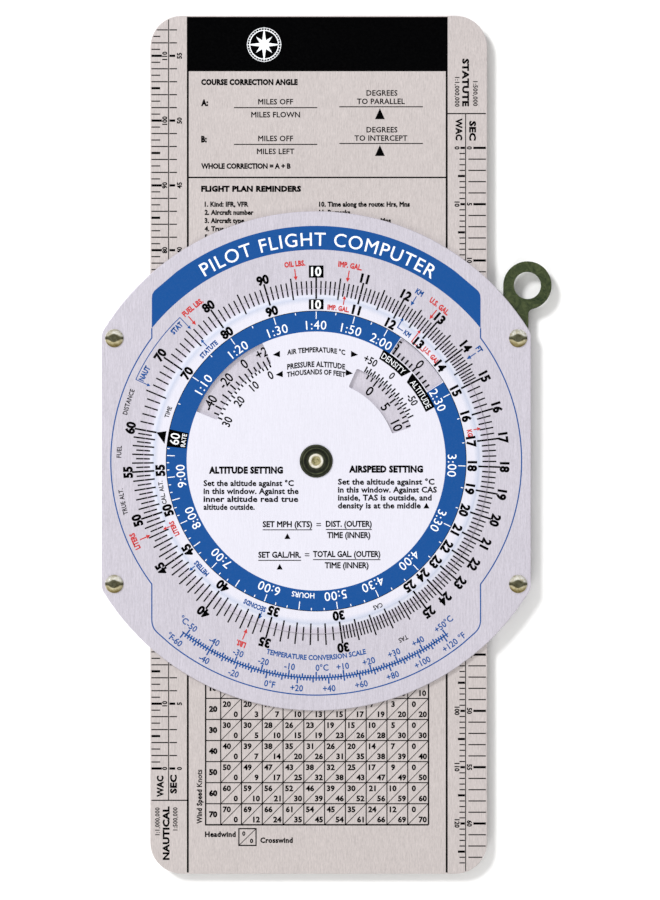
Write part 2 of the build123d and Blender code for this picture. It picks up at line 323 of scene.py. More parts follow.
# ------ materials
class NodeTree:
    """A node tree, with helpers that keep each recipe short."""

    def __init__(self, tree, space):
        self.tree = tree
        self.place = self.wired("TexCoord", space)

    def wired(self, kind, output, inputs=None, **settings):
        """An output of a new node, its inputs linked to sockets or set to constants."""
        node = self.tree.nodes.new("ShaderNode" + kind)
        for name, value in settings.items():
            setattr(node, name, value)
        for name, source in (inputs or {}).items():
            if isinstance(source, bpy.types.NodeSocket):
                self.tree.links.new(source, node.inputs[name])
            else:
                node.inputs[name].default_value = source
        return node.outputs[output]

    def noise(self, scale, detail=3.0, roughness=0.6, distortion=0.0):
        """Noise whose scale along x, y and z can differ, so that it runs out along one axis."""
        place = self.wired("Mapping", "Vector", {"Scale": scale, "Vector": self.place})
        inputs = {"Scale": 1.0, "Detail": detail, "Roughness": roughness, "Distortion": distortion}
        return self.wired("TexNoise", "Fac", {**inputs, "Vector": place})

    def radius(self):
        """Distance from the pivot in the plane of the disc, as a share of the disc's radius."""
        offset = self.wired("VectorMath", "Vector", {0: self.place, 1: PIVOT}, operation="SUBTRACT")
        level = self.wired("VectorMath", "Vector", {0: offset, 1: (1, 1, 0)}, operation="MULTIPLY")
        length = self.wired("VectorMath", "Value", {0: level}, operation="LENGTH")
        return self.remap(length, 0.0, DISC_RADIUS * MM, 0.0, 1.0)

    def axis(self, vector, name):
        return self.wired("SeparateXYZ", name, {0: vector})

    def slope(self):
        """How far a surface leans towards +Y, from 0 (fully away) through 0.5 (level) to 1."""
        return self.remap(self.axis(self.wired("TexCoord", "Normal"), "Y"), -1.0, 1.0, 0.0, 1.0)

    def ramp(self, value, stops):
        colour = self.wired("ValToRGB", "Color", {"Fac": value})
        elements = colour.node.color_ramp.elements
        while len(elements) < len(stops):
            elements.new(0.5)
        for element, (position, tone) in zip(elements, stops):
            element.position = position
            element.color = (*tone, 1.0)
        return colour

    def remap(self, value, low, high, out_low, out_high):
        limits = {"From Min": low, "From Max": high, "To Min": out_low, "To Max": out_high}
        return self.wired("MapRange", "Result", {"Value": value, **limits})

    def multiplied(self, first, second):
        """Two colours multiplied: sockets 6, 7 and 2 are the Mix node's colour sockets."""
        inputs = {"Factor": 1.0, 6: first, 7: second}
        return self.wired("Mix", 2, inputs, data_type="RGBA", blend_type="MULTIPLY")

    def maths(self, operation, first, second):
        return self.wired("Math", "Value", {0: first, 1: second}, operation=operation)


class Skin(NodeTree):
    """A new material, with its Principled shader."""

    def __init__(self, name):
        self.material = bpy.data.materials.new(name)
        self.material.use_nodes = True
        super().__init__(self.material.node_tree, "Object")
        self.shader = self.tree.nodes["Principled BSDF"]

    def finish(self, colour, roughness=None, bump=None, **constants):
        """Wire up the shader, with bump given as height, strength and distance."""
        links = {"Base Color": colour, "Roughness": roughness}
        if bump:
            inputs = dict(zip(("Height", "Strength", "Distance"), bump))
            links["Normal"] = self.wired("Bump", "Normal", inputs)
        for name, source in links.items():
            if source:
                self.tree.links.new(source, self.shader.inputs[name])
        for name, value in constants.items():
            self.shader.inputs[name.replace("_", " ")].default_value = value
        return self.material


WHITE = (1.0, 1.0, 1.0)


def shade(colour, factor):
    return tuple(min(1.0, c * factor) for c in colour)


def brushed_metal(name, colour, contrast, metallic, rough=(0.30, 0.46), mottle=0.03, rim_tones_and_painted_reflection=None):
    """Sheet metal brushed along Y: fine streaks, a soft mottle and a shallow grain."""
    n = Skin(name)
    streaks = n.noise((3400, 950, 950), roughness=0.75)
    hairs = n.noise((6000, 260, 260), detail=2.0)
    grain = n.maths("MULTIPLY", n.maths("ADD", streaks, hairs), 0.5)
    base = n.ramp(grain, [(0.36, shade(colour, 1 - contrast)), (0.64, shade(colour, 1 + contrast))])
    clouds = n.ramp(n.noise((60, 28, 28)), [(0.35, (1 - mottle,) * 3), (0.65, WHITE)])
    base = n.multiplied(base, clouds)
    # Optional tones by distance from the pivot, used for the disc's painted rim reflection
    if rim_tones_and_painted_reflection:
        base = n.multiplied(base, n.ramp(n.radius(), rim_tones_and_painted_reflection))
    return n.finish(base, n.remap(grain, 0.3, 0.7, *rough), (grain, 0.3, 0.00002), Metallic=metallic)


def printed_ink(name, colour, fade, gloss=0.04):
    """Screen-printed ink: slightly uneven cover, a satin skin and a trace of the grain below."""
    n = Skin(name)
    cover = n.noise((2600, 2600, 2600))
    worn = tuple(c + (1 - c) * fade for c in colour)
    tone = n.ramp(cover, [(0.42, colour), (0.78, worn)])
    bump = (n.noise((5200, 300, 300), detail=2.0), 0.12, 0.00001)
    return n.finish(tone, n.remap(cover, 0.3, 0.7, 0.49, 0.65), bump, Specular_IOR_Level=gloss)


def polished_metal(name, colour, dark, metallic, slope_painted_reflection=None):
    """Plated metal: bright, with tarnish in patches and fine scratches."""
    n = Skin(name)
    tarnish = n.noise((900, 900, 900), detail=4.0, roughness=0.65)
    plating = n.ramp(tarnish, [(0.38, dark), (0.58, colour)])
    # Optional painted reflection: the colour follows how far the surface leans towards +Y
    if slope_painted_reflection:
        plating = n.multiplied(plating, n.ramp(n.slope(), slope_painted_reflection))
    scratches = (n.noise((9000, 1500, 1500), detail=2.0), 0.2, 0.00001)
    return n.finish(plating, n.remap(tarnish, 0.3, 0.7, 0.22, 0.12), scratches, Metallic=metallic)


def mottled_plastic(name, dark, light, rough=(0.38, 0.6), painted_ring_highlights=None):
    """Moulded plastic with a marbled flow pattern and a fine leather-like skin."""
    n = Skin(name)
    flow = n.noise((330, 330, 330), detail=6.0, roughness=0.75, distortion=1.6)
    skin = n.noise((3800, 3800, 3800))
    tone = n.ramp(flow, [(0.36, dark), (0.64, light)])
    # Optional painted highlights: tones in rings about the pivot
    if painted_ring_highlights:
        tone = n.multiplied(tone, n.ramp(n.radius(), painted_ring_highlights))
    return n.finish(tone, n.remap(skin, 0.3, 0.7, *rough), (skin, 0.3, 0.00004), Specular_IOR_Level=0.3)


def frosted_window(name):
    """Clear plastic, finely frosted for pencil marks."""
    n = Skin(name)
    frost = n.noise((7000, 7000, 7000))
    scratch = n.noise((900, 120, 120), detail=4.0, roughness=0.7)
    tone = n.ramp(scratch, [(0.3, (0.86, 0.89, 0.9)), (0.7, (0.95, 0.97, 0.97))])
    n.material.surface_render_method = "BLENDED"
    bump = (n.maths("ADD", frost, scratch), 0.2, 0.00002)
    return n.finish(tone, n.remap(frost, 0.3, 0.7, 0.28, 0.5), bump, Alpha=0.22, IOR=1.49)


plate_metal = brushed_metal("plate_aluminium", (0.705, 0.67, 0.755), contrast=0.14, metallic=0.5)
slide_metal = brushed_metal("slide_aluminium", (0.69, 0.628, 0.618), contrast=0.15, metallic=0.5)
SATIN = {"metallic": 0.35, "rough": (0.42, 0.52), "mottle": 0.015}
ring_metal = brushed_metal("azimuth_aluminium", (0.88, 0.875, 0.93), contrast=0.05, **SATIN)
# Painted reflection: a pale bluish band where the disc's face bends down stands in for the light the bend
# reflects; beyond it the sloping rim is coloured darker, to the plate's tone
RIM_TONES_AND_PAINTED_REFLECTION = [(44.9 / DISC_RADIUS, WHITE), (46.3 / DISC_RADIUS, (0.77, 0.83, 0.90)),
       (47.0 / DISC_RADIUS, (0.95, 0.98, 1.0)), (48.2 / DISC_RADIUS, (0.78, 0.74, 0.77))]
disc_metal = brushed_metal("disc_aluminium", (0.84, 0.83, 0.93), contrast=0.05, rim_tones_and_painted_reflection=RIM_TONES_AND_PAINTED_REFLECTION, **SATIN)
spring_metal = brushed_metal("spring_steel", (0.5, 0.5, 0.52), contrast=0.16, metallic=1.0)
# Painted reflection on the rivet crowns: bright where they lean towards +Y, brassy where they lean away,
# dark across the middle, set by the surface's slope
PAINTED_CROWN_REFLECTION = [(0.27, (0.5, 0.42, 0.2)), (0.42, (1.0, 0.94, 0.7)), (0.475, (0.08, 0.08, 0.05)),
         (0.535, (0.2, 0.2, 0.13)), (0.585, WHITE)]
rivet_metal = polished_metal("nickel_brass", (0.97, 0.95, 0.88), (0.6, 0.55, 0.4), 0.7, PAINTED_CROWN_REFLECTION)
ring_plastic = mottled_plastic("green_plastic", (0.009, 0.02, 0.006), (0.07, 0.088, 0.034))
# The turned washer: painted highlights make the crests of its moulded rings paler than the grooves
WASHER_PAINTED_RING_HIGHLIGHTS = [(radius / DISC_RADIUS, (tone, tone, tone)) for radius, tone in (
    (2.3, 0.35), (2.9, 0.1), (3.5, 0.12), (3.7, 1.0), (3.85, 0.1), (4.2, 0.12), (4.35, 0.7), (4.6, 0.15))]
washer_plastic = mottled_plastic("black_green_plastic", (0.035, 0.044, 0.02), (0.12, 0.135, 0.065),
                                 painted_ring_highlights=WASHER_PAINTED_RING_HIGHLIGHTS)
eyelet_metal = polished_metal("nickel_eyelet", (1.0, 0.97, 0.88), (0.75, 0.7, 0.52), 0.5)
eyelet_brass = polished_metal("eyelet_brass", (0.72, 0.64, 0.34), (0.26, 0.24, 0.1), 1.0)
fibre = mottled_plastic("dark_fibre", (0.05, 0.045, 0.04), (0.12, 0.1, 0.085), (0.7, 0.85))
window_plastic = frosted_window("frosted_clear")
black_ink = printed_ink("ink_black", (0.001, 0.001, 0.0012), fade=0.002, gloss=0.0)
blue_ink = printed_ink("ink_blue", (0.010, 0.073, 0.268), fade=0.01)
red_ink = printed_ink("ink_red", (0.5, 0.03, 0.03), fade=0.04)
white_ink = printed_ink("ink_white", (0.88, 0.9, 0.93), fade=0.0)
grey_ink = printed_ink("ink_grey", (0.03, 0.03, 0.032), fade=0.16)

INKS = {"ink_black": black_ink, "ink_blue": blue_ink, "ink_red": red_ink, "ink_white": white_ink}
SKINS = {
    plate_metal: ["front_plate", "back_plate", "azimuth_retainer"],
    slide_metal: ["slide"],
    disc_metal: ["computer_disc"],
    ring_metal: ["azimuth_ring"],
    spring_metal: ["slide_spring", "backing_washer", "azimuth_friction_ring"],
    fibre: ["friction_washer"],
    ring_plastic: ["left_spacer", "lanyard_spacer"],
    washer_plastic: ["pivot_washer"],
    eyelet_metal: ["pivot_eyelet", "centre_grommet"],
    window_plastic: ["azimuth_window"],
    rivet_metal: ["rivet_upper_left", "rivet_upper_right", "rivet_lower_left", "rivet_lower_right"],
}
for skin, nodes in SKINS.items():
    for node in nodes:
        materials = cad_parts[node].data.materials
        materials.clear()
        materials.append(skin)

# ------ log scales of front and disc
BOLD = {"squeeze": 0.95, "weight": 0.056, "spacing": 1.04}
CAPTION = {"squeeze": 0.76, "weight": 0.055, "spacing": 1.06}
THIN = {"squeeze": 0.84, "weight": 0.024, "spacing": 1.05}
DIAL_NUMBER = 2.75
CAPTION_HEIGHT = 1.65


def log_clock(value):
    """Clockwise angle of a value on the logarithmic scale that runs from 10 to 100."""
    return 360.0 * math.log10(value / 10.0)


# Spans of the scale: first and last value, ticks to a unit, and how often one is long or numbered
DIAL_SPANS = [(10, 15, 10, 5, 10), (15, 25, 5, 5, 5), (25, 30, 5, 5, 125), (30, 60, 2, 2, 10),
              (60, 100, 1, 5, 10)]


def dial_marks():
    """Every tick of the log scale as (value, rank), rank 0 short, 1 long, 2 numbered."""
    for first, last, per_unit, long_every, numbered_every in DIAL_SPANS:
        for n in range(first * per_unit, last * per_unit):
            yield n / per_unit, int(n % long_every == 0) + int(n % numbered_every == 0)


def dial_scale(ink, ticks, number_radius, gap=0.0, unnumbered=(10,)):
    """Ticks between the edge radius and ticks[rank], with bold numbers at number_radius."""
    for value, rank in dial_marks():
        ends = sorted((DISC_RADIUS + gap, ticks[rank]))
        width = (0.4, 0.42, 0.5)[rank]
        ink.add(ray(log_clock(value), ends[0], ends[1], width, (RIM_BREAK_RADIUS,)))
        if rank == 2 and value not in unnumbered:
            label = str(round(value))
            ink.arc_text(label, number_radius, log_clock(value), DIAL_NUMBER, **BOLD)


# ------ front plate print
PLATE_INKS = {"black": 0, "blue": 0, "red": 0, "white": 1}
PLATE_SHEETS = sheets("plate_print", "body", flat(PLATE_FACE), PLATE_INKS)
plate_black, plate_blue, plate_red, plate_white = PLATE_SHEETS

dial_scale(plate_black, (51.4, 52.55, 52.6), 53.8, gap=0.08)
plate_black.add(box_shape(-2.1, 52.3, 2.1, 55.8))
plate_white.text("10", 0, 54.05, 2.6, squeeze=1.0, weight=0.03)

BAND_INNER, BAND_OUTER, BAND_HALF_WIDTH, BAND_CORNER = 60.3, 67.1, 46.9, 2.6
BORDER_ARC, BORDER_FOOT, BORDER_WIDTH, BORDER_CORNER = 58.6, 66.8, 0.34, 5.0


def rounded(before, corner, after, radius):
    """Path from before to after, rounded off where it passes the corner."""
    (ax, ay), (bx, by) = direction(corner, before), direction(corner, after)
    reach = radius / math.tan(math.acos(ax * bx + ay * by) / 2)
    start = (corner[0] + ax * reach, corner[1] + ay * reach)
    end = (corner[0] + bx * reach, corner[1] + by * reach)
    path = [before]
    for t in [step / 8 for step in range(9)]:
        ends = zip(start, corner, end)
        path.append(tuple((1 - t) ** 2 * s + 2 * t * (1 - t) * p + t * t * e for s, p, e in ends))
    return path + [after]


def side_height(radius):
    """Height at which a circle about the pivot meets the band's upright side."""
    return math.sqrt(radius**2 - BAND_HALF_WIDTH**2)


def side_clock(radius):
    return math.degrees(math.asin(BAND_HALF_WIDTH / radius))


def title_band():
    """Blue band along the top, its two sides upright and its outer corners rounded."""
    half = side_clock(BAND_INNER)
    side = side_clock(BAND_OUTER) - 8
    corner = rounded((BAND_HALF_WIDTH, side_height(BAND_INNER)), (BAND_HALF_WIDTH, side_height(BAND_OUTER)),
                     clock_point(BAND_OUTER, side), BAND_CORNER)
    inner = arc_points(BAND_INNER, -half, half)
    outer = [(-x, y) for x, y in corner] + arc_points(BAND_OUTER, -side, side)[1:-1] + corner[::-1]
    return strip(inner, resampled(outer, len(inner)))


def resampled(points, count):
    """The same path with a given number of evenly spaced points."""
    lengths = [0.0]
    for a, b in zip(points, points[1:]):
        lengths.append(lengths[-1] + math.hypot(b[0] - a[0], b[1] - a[1]))
    path, k = [], 0
    for i in range(count):
        target = lengths[-1] * i / (count - 1)
        while k < len(lengths) - 2 and lengths[k + 1] < target:
            k += 1
        t = (target - lengths[k]) / (lengths[k + 1] - lengths[k])
        path.append(tuple(a + (b - a) * t for a, b in zip(points[k], points[k + 1])))
    return path


plate_blue.add(title_band())
plate_white.arc_text("PILOT FLIGHT COMPUTER", 63.3, 0.6, 3.75, weight=0.004, spacing=1.12, width=70.0)

foot_clock, arc_clock = 180 - side_clock(BORDER_FOOT), 180 - side_clock(BORDER_ARC)
for side in (-1, 1):
    edge = side * BAND_HALF_WIDTH
    border = [(edge, side_height(BAND_INNER))]
    border += arc_points(BORDER_ARC, side * (180 - arc_clock), side * arc_clock)
    border += rounded((edge, -side_height(BORDER_ARC) - 0.4), (edge, -side_height(BORDER_FOOT)),
                      clock_point(BORDER_FOOT, side * (foot_clock + 6)), BORDER_CORNER)
    border += arc_points(BORDER_FOOT, side * (foot_clock + 7), side * 180)
    plate_blue.add(stroke(border, BORDER_WIDTH))

# Captions and arrows of the outer scale
plate_red.captions([("FUEL LBS.", 56.3, -38.8), ("OIL LBS.", 56.6, -6.2), ("IMP. GAL.", 56.6, 9.9),
                    ("U.S. GAL.", 56.5, 38.6), ("LITERS", 56.6, 246.1), ("LBS.", 56.4, 202.4)],
                   CAPTION_HEIGHT, **CAPTION)
for value in (76.7, 96, 10.65, 12.8, 48.2, 36.5):
    plate_red.arrow(log_clock(value), 55.1, 51.8, width=0.32, barb=0.6, length=1.2)
plate_blue.captions([("KM", 56.4, 31.5), ("FT", 56.4, 55.6), ("STAT", 55.0, -46.4), ("NAUT", 55.0, -63.0)],
                    CAPTION_HEIGHT, **CAPTION)
for value in (12.22, 14.3):
    plate_blue.arrow(log_clock(value), 55.0, 51.9, width=0.28, barb=0.6, length=1.2)
for value in (75.7, 65.7):
    plate_blue.arrow(log_clock(value), 56.5, 51.9, barb=0.5)
plate_blue.add(ring_shape(56.35, 56.6, log_clock(65.7), log_clock(75.7)))
plate_black.captions([("DISTANCE", 56.2, -72.5), ("FUEL", 56.3, -87.3), ("TRUE ALT.", 56.4, 258.1),
                      ("TAS", 56.5, 153.9)], 1.35, **THIN)

# Temperature conversion scale along the foot of the plate, read from below
FOOT_RADIUS = 61.9
DEGREE_CLOCK = 0.736


def temperature_clock(celsius):
    return 180.0 - DEGREE_CLOCK * celsius


plate_blue.add(ring_shape(61.7, 62.08, temperature_clock(50.8), temperature_clock(-51.8)))
for celsius in range(-50, 51):
    reach = 1.75 if celsius % 10 == 0 else 1.2 if celsius % 5 == 0 else 0.8
    plate_blue.add(ray(temperature_clock(celsius), FOOT_RADIUS - reach, FOOT_RADIUS, 0.42))
for fahrenheit in range(-60, 124, 2):
    celsius = (fahrenheit - 32) / 1.8
    reach = 1.75 if fahrenheit % 20 == 0 else 1.3 if fahrenheit % 10 == 0 else 0.8
    plate_blue.add(ray(temperature_clock(celsius), FOOT_RADIUS, FOOT_RADIUS + reach, 0.42))


def foot_text(text, radius, clock):
    plate_blue.arc_text(text, radius, clock, 1.85, tops_outward=False, squeeze=0.92)


for celsius in range(-50, 51, 10):
    if celsius:
        foot_text(f"{celsius:+d}", 59.1, temperature_clock(celsius))
for fahrenheit in range(-60, 121, 20):
    if fahrenheit:
        foot_text(f"{fahrenheit:+d}", 65.0, temperature_clock((fahrenheit - 32) / 1.8))
foot_text("0°C", 59.0, temperature_clock(2.2))
foot_text("0°F", 65.0, temperature_clock(-16.0))
for celsius in (-54.0, 54.0):
    foot_text("°C", 59.0, temperature_clock(celsius))
    foot_text("°F", 65.0, temperature_clock(celsius))
plate_blue.arc_text("TEMPERATURE CONVERSION SCALE", 56.1, 180, 1.5, False, weight=0.035, width=28.6)


# Scales under the disc's windows, which belong to the plate
def air_temperature_clock(celsius):
    return -36.5 + 360.0 * math.log10(1 + celsius / 273.15)


def density_clock(thousand_feet):
    return 47.0 - 2.25 * thousand_feet


def pressure_clock(thousand_feet):
    return 37.4 + 2.9 * thousand_feet


WINDOW_TICK = 0.46
for celsius in range(-60, 61, 5):
    inner = LOW_WINDOW[0] - 1.5
    outer = (32.2, 32.8)[celsius % 10 == 0]
    plate_black.add(ray(air_temperature_clock(celsius), inner, outer, WINDOW_TICK))
for celsius in range(-60, 61, 20):
    label = f"{celsius:+d}" if celsius else "0"
    plate_black.arc_text(label, 34.5, air_temperature_clock(celsius), 2.8, squeeze=0.85)
for thousand in range(-2, 12):
    outer = SPEED_WINDOW[1] + 1.0
    inner = (27.4, 26.7)[thousand % 5 == 0]
    plate_black.add(ray(pressure_clock(thousand), inner, outer, WINDOW_TICK))
for thousand in (0, 5, 10):
    plate_black.arc_text(str(thousand), 25.1, pressure_clock(thousand), 2.75, squeeze=0.95)
for thousand in range(-4, 6):
    outer = (39.0, 39.5)[thousand % 5 == 0]
    plate_black.add(ray(density_clock(thousand), DENSITY_WINDOW[0] - 1.0, outer, 0.5))
plate_black.arc_text("5", 40.45, density_clock(5) - 0.6, 2.75, squeeze=0.85)
plate_black.arc_text("0", 40.45, density_clock(0), 2.75, squeeze=0.85)

# ------ computer disc print
DISC_INKS = {"black": 1, "blue": 0, "red": 0, "white": 3}
DISC_SHEETS = sheets("disc_print", "computer_disc", disc_surface, DISC_INKS)
disc_black, disc_blue, disc_red, disc_white = DISC_SHEETS

dial_scale(disc_black, (47.4, 46.3, 46.2), 44.5, gap=-0.06, unnumbered=(10, 60))
disc_black.add(box_shape(-2.1, 43.2, 2.1, 46.1))
disc_white.text("10", 0, 44.6, 2.5, squeeze=1.0, weight=0.03)

# Blue time ring, broken by the density window; its tick at 590 minutes would lie in the rate box
ring_start, ring_end = DENSITY_WINDOW_CLOCK[1] + 0.25, DENSITY_WINDOW_CLOCK[0] + 359.75
disc_blue.add(ring_shape(TIME_RING[0], TIME_RING[1], ring_start, ring_end))
disc_black.add(ring_shape(TIME_RING[1] - 0.04, TIME_RING[1] + 0.14, 0, 360))
HOUR_TEXT = {"squeeze": 1.0, "weight": 0.002, "spacing": 1.09}
TIME_MARKS = [70, 80, 90, 100, 110, 120, 150, 180, 210, 240, 270, 300, 360, 420, 480, 540]
BOXED_MINUTES = 590
for minutes in TIME_MARKS:
    label = f"{minutes // 60}:{minutes % 60:02d}"
    disc_white.arc_text(label, 38.75, log_clock(minutes / 10), 2.45, **HOUR_TEXT)
for minutes in list(range(65, 120, 5)) + list(range(120, 600, 10)):
    clock = log_clock(minutes / 10)
    in_window = DENSITY_WINDOW_CLOCK[0] - 1 < clock % 360 < DENSITY_WINDOW_CLOCK[1] + 1
    if in_window or minutes == BOXED_MINUTES:
        continue
    reach = 1.9 if minutes in TIME_MARKS else 2.1 if minutes % 30 == 0 else 0.5
    disc_white.add(ray(clock, TIME_RING[1] - 0.3 - reach, TIME_RING[1] - 0.15, 0.24))
disc_white.arc_text("HOURS", 38.4, 185.6, 1.5, squeeze=0.95, weight=0.014)

RATE_CLOCK = log_clock(60)
BOX_CLOCK, BOX_HALF = -81.1, 3.35
disc_black.add(ring_shape(37.2, 42.65, BOX_CLOCK - BOX_HALF, BOX_CLOCK + BOX_HALF))
disc_white.arc_text("60", 40.75, BOX_CLOCK, 2.6, squeeze=0.92, weight=0.008)
disc_white.arc_text("RATE", 38.2, BOX_CLOCK, 1.3, squeeze=0.88, weight=0.012)
pointer = [clock_point(43.5, BOX_CLOCK - 2.4), clock_point(46.2, RATE_CLOCK),
           clock_point(43.5, BOX_CLOCK + 2.4)]
disc_black.add(polygon(pointer))

# Captions and arrows of the inner scale
INNER_CAPTION = {"height": 1.5, **CAPTION}
disc_red.captions([("IMP. GAL.", 44.0, 8.3), ("U.S. GAL.", 44.5, 47.6), ("KG", 44.5, 79.7),
                   ("LITERS", 44.8, 244.6)], **INNER_CAPTION)
for value, tail in ((10.65, 45.1), (12.8, 43.6), (16.55, 45.7), (48.2, 45.7)):
    disc_red.arrow(log_clock(value), tail, 47.8, width=0.3, barb=0.55)
disc_red.add(ring_shape(43.4, 43.7, log_clock(12.8) - 0.15, 44.4))
disc_blue.captions([("KM", 44.6, 35.6), ("METERS", 44.8, 226.9), ("SECONDS", 44.8, 203.0),
                    ("STATUTE", 44.2, -43.9)], **INNER_CAPTION)
for value, tail in ((12.22, 44.5), (43.3, 45.7), (35.9, 45.7), (75.7, 45.2)):
    disc_blue.arrow(log_clock(value), tail, 47.8, width=0.3, barb=0.55)
disc_blue.add(ring_shape(44.4, 44.7, log_clock(12.22) - 0.15, 33.7))
disc_black.captions([("TIME", 44.4, -71.7), ("CAL. ALT.", 44.8, 258.4), ("CAS", 45.0, 157.0)], 1.3, **THIN)


# Scales beside the windows
def altitude_clock(thousand_feet):
    return -28.0 - 1.10 * thousand_feet - 0.0057 * thousand_feet**2


def speed_temperature_clock(celsius):
    return 41.65 - 180.0 * math.log10(1 + celsius / 273.15)


for thousand in range(-2, 31):
    reach = 1.35 if thousand % 10 == 0 else 0.95 if thousand % 2 == 0 else 0
    if reach:
        clock = altitude_clock(thousand)
        disc_black.add(ray(clock, LOW_WINDOW[0] - reach, LOW_WINDOW[0] - 0.05, WINDOW_TICK))
for thousand in (0, 10, 20, 30):
    disc_black.arc_text(str(thousand), 27.7, altitude_clock(thousand), 2.4, squeeze=0.85)
for celsius in range(50, -71, -5):
    reach = 1.8 if celsius % 10 == 0 else 1.0
    clock = speed_temperature_clock(celsius)
    disc_black.add(ray(clock, SPEED_WINDOW[1] + 0.05, SPEED_WINDOW[1] + reach, 0.42))
for celsius, label in ((50, "+50"), (0, "0"), (-50, "-50")):
    clock = speed_temperature_clock(celsius)
    disc_black.arc_text(label, 32.5, clock, 2.2, squeeze=0.85)

# Black name plates beside the density window, with a white wedge between them
for name, width, inner_start, outer_start, inner_end, outer_end in (
    ("DENSITY", 7.9, 31.6, 31.1, 45.3, 46.7),
    ("ALTITUDE", 9.0, 48.9, 47.5, 65.9, 65.5),
):
    steps = [i / 12 for i in range(13)]
    outer = [clock_point(37.1, outer_start + (outer_end - outer_start) * t) for t in steps]
    inner = [clock_point(34.2, inner_start + (inner_end - inner_start) * t) for t in steps]
    disc_black.add(strip(inner, outer))
    clock = (inner_start + inner_end) / 2
    disc_white.arc_text(name, 35.55, clock, 1.65, weight=0.0, width=width)

# Captions between the windows, on a shallow arch
ARCH = 42.0


def arched(text, y, height, **style):
    points, faces = text_shape(text, height, **style)
    disc_black.add(([(px, y + py - px * px / (2 * ARCH)) for px, py in points], faces))


CONDENSED = {"squeeze": 0.82, "weight": 0.036, "spacing": 1.04}
arched("AIR TEMPERATURE °C", 31.7, 1.5, **CONDENSED)
arched("PRESSURE ALTITUDE", 27.6, 1.6, **CONDENSED)
arched("THOUSANDS OF FEET", 25.4, 1.5, **CONDENSED)
for side, x, y in ((-1, 11.3, 30.4), (-1, 10.5, 24.7), (1, 10.9, 30.4), (1, 9.4, 25.1)):
    tip = [(side * (x + 1.05), y - 0.15), (side * (x - 0.95), y + 1.0), (side * (x - 1.0), y - 0.8)]
    disc_black.add(polygon(tip))

# Working notes: short generic directions under the pivot
HEADING = {"weight": 0.062, "spacing": 1.08, "width": 21.1}
disc_black.text("ALTITUDE SETTING", -20.0, -2.6, 2.05, **HEADING)
disc_black.text("AIRSPEED SETTING", 19.9, -2.3, 2.05, **HEADING)
NOTE = {"weight": 0.034, "spacing": 1.04, "anchor": "left"}
NOTE_HEIGHT, NOTE_STEP = 1.72, 2.26
LEFT_NOTE = [("Set the altitude against °C", 25.7), ("in this window. Against the", 27.1),
             ("inner altitude read true", 27.0), ("altitude outside.", 14.6)]
RIGHT_NOTE = [("Set the altitude against °C", 27.5), ("in this window. Against CAS", 28.2),
              ("inside, TAS is outside, and", 26.7), ("density is at the middle", 23.6)]
for note, x, y in ((LEFT_NOTE, -32.1, -6.3), (RIGHT_NOTE, 6.2, -5.9)):
    for row, (line, width) in enumerate(note):
        disc_black.text(line, x, y - row * NOTE_STEP, NOTE_HEIGHT, width=width, **NOTE)


def marker(ink, x, y, half_width, height):
    ink.add(polygon([(x - half_width, y - height), (x + half_width, y - height), (x, y)]))


marker(disc_black, 31.4, -11.9, 0.85, 1.6)


def fraction(x, y, top, top_width, below="", below_width=0.0):
    """Lettering over a rule, with a second line or a pointer under it."""
    disc_black.text(top, x, y + 1.6, 1.75, weight=0.034, width=top_width)
    disc_black.line(x - top_width / 2, y, x + top_width / 2, y, 0.24)
    if below:
        disc_black.text(below, x, y - 1.6, 1.75, weight=0.034, width=below_width)
    else:
        marker(disc_black, x, y - 1.0, 0.85, 1.6)


fraction(-8.2, -19.6, "SET MPH (KTS)", 14.1)
fraction(9.3, -19.5, "DIST. (OUTER)", 13.1, "TIME (INNER)", 12.3)
fraction(-10.4, -28.3, "SET GAL./HR.", 12.2)
fraction(8.7, -28.1, "TOTAL GAL. (OUTER)", 19.2, "TIME (INNER)", 12.5)
for x, y in ((0.7, -18.1), (-2.6, -26.7)):
    for gap in (-0.3, 0.3):
        disc_black.line(x - 0.65, y + gap, x + 0.65, y + gap, 0.24)

# ------ slide front print
SLIDE_SHEETS = sheets("slide_print", "slide", flat(SLIDE_FACE), {"black": 0, "white": 1})
slide_black, slide_white = SLIDE_SHEETS
EDGE_MARGIN = 0.35
LEFT_THIN, RIGHT_THIN, LEFT_THICK, RIGHT_THICK = -42.2, 42.7, -36.7, 37.3
CORNER_RADIUS = 9.0


def corner_cut(inset):
    """How far the slide's rounded corner reaches in, at a distance from the other edge."""
    if inset >= CORNER_RADIUS:
        return 0.0
    return CORNER_RADIUS - math.sqrt(max(0.0, CORNER_RADIUS**2 - (CORNER_RADIUS - inset) ** 2))


NAUTICAL_ZERO, NAUTICAL_MILE = -87.9, 1.852
STATUTE_ZERO, STATUTE_MILE = 89.5, 1.609344
RULER_NUMBER = 1.45
NAUTICAL_LINE, STATUTE_LINE = -97.0, 99.3
LEFT_TIP = SLIDE_TOP - corner_cut(LEFT_THIN - SLIDE_LEFT) - 0.3
RIGHT_TIP = SLIDE_BOTTOM + corner_cut(SLIDE_RIGHT - RIGHT_THIN) + 0.3
slide_black.line(LEFT_THIN, NAUTICAL_LINE, LEFT_THIN, LEFT_TIP, 0.26)
slide_black.line(RIGHT_THIN, STATUTE_LINE, RIGHT_THIN, RIGHT_TIP, 0.26)
for x in (LEFT_THICK, RIGHT_THICK):
    slide_black.line(x, SLIDE_BOTTOM + EDGE_MARGIN, x, SLIDE_TOP - EDGE_MARGIN, 0.55)
slide_black.line(SLIDE_LEFT + EDGE_MARGIN, NAUTICAL_LINE, LEFT_THICK, NAUTICAL_LINE, 0.32)
slide_black.line(RIGHT_THICK, STATUTE_LINE, SLIDE_RIGHT - EDGE_MARGIN, STATUTE_LINE, 0.32)


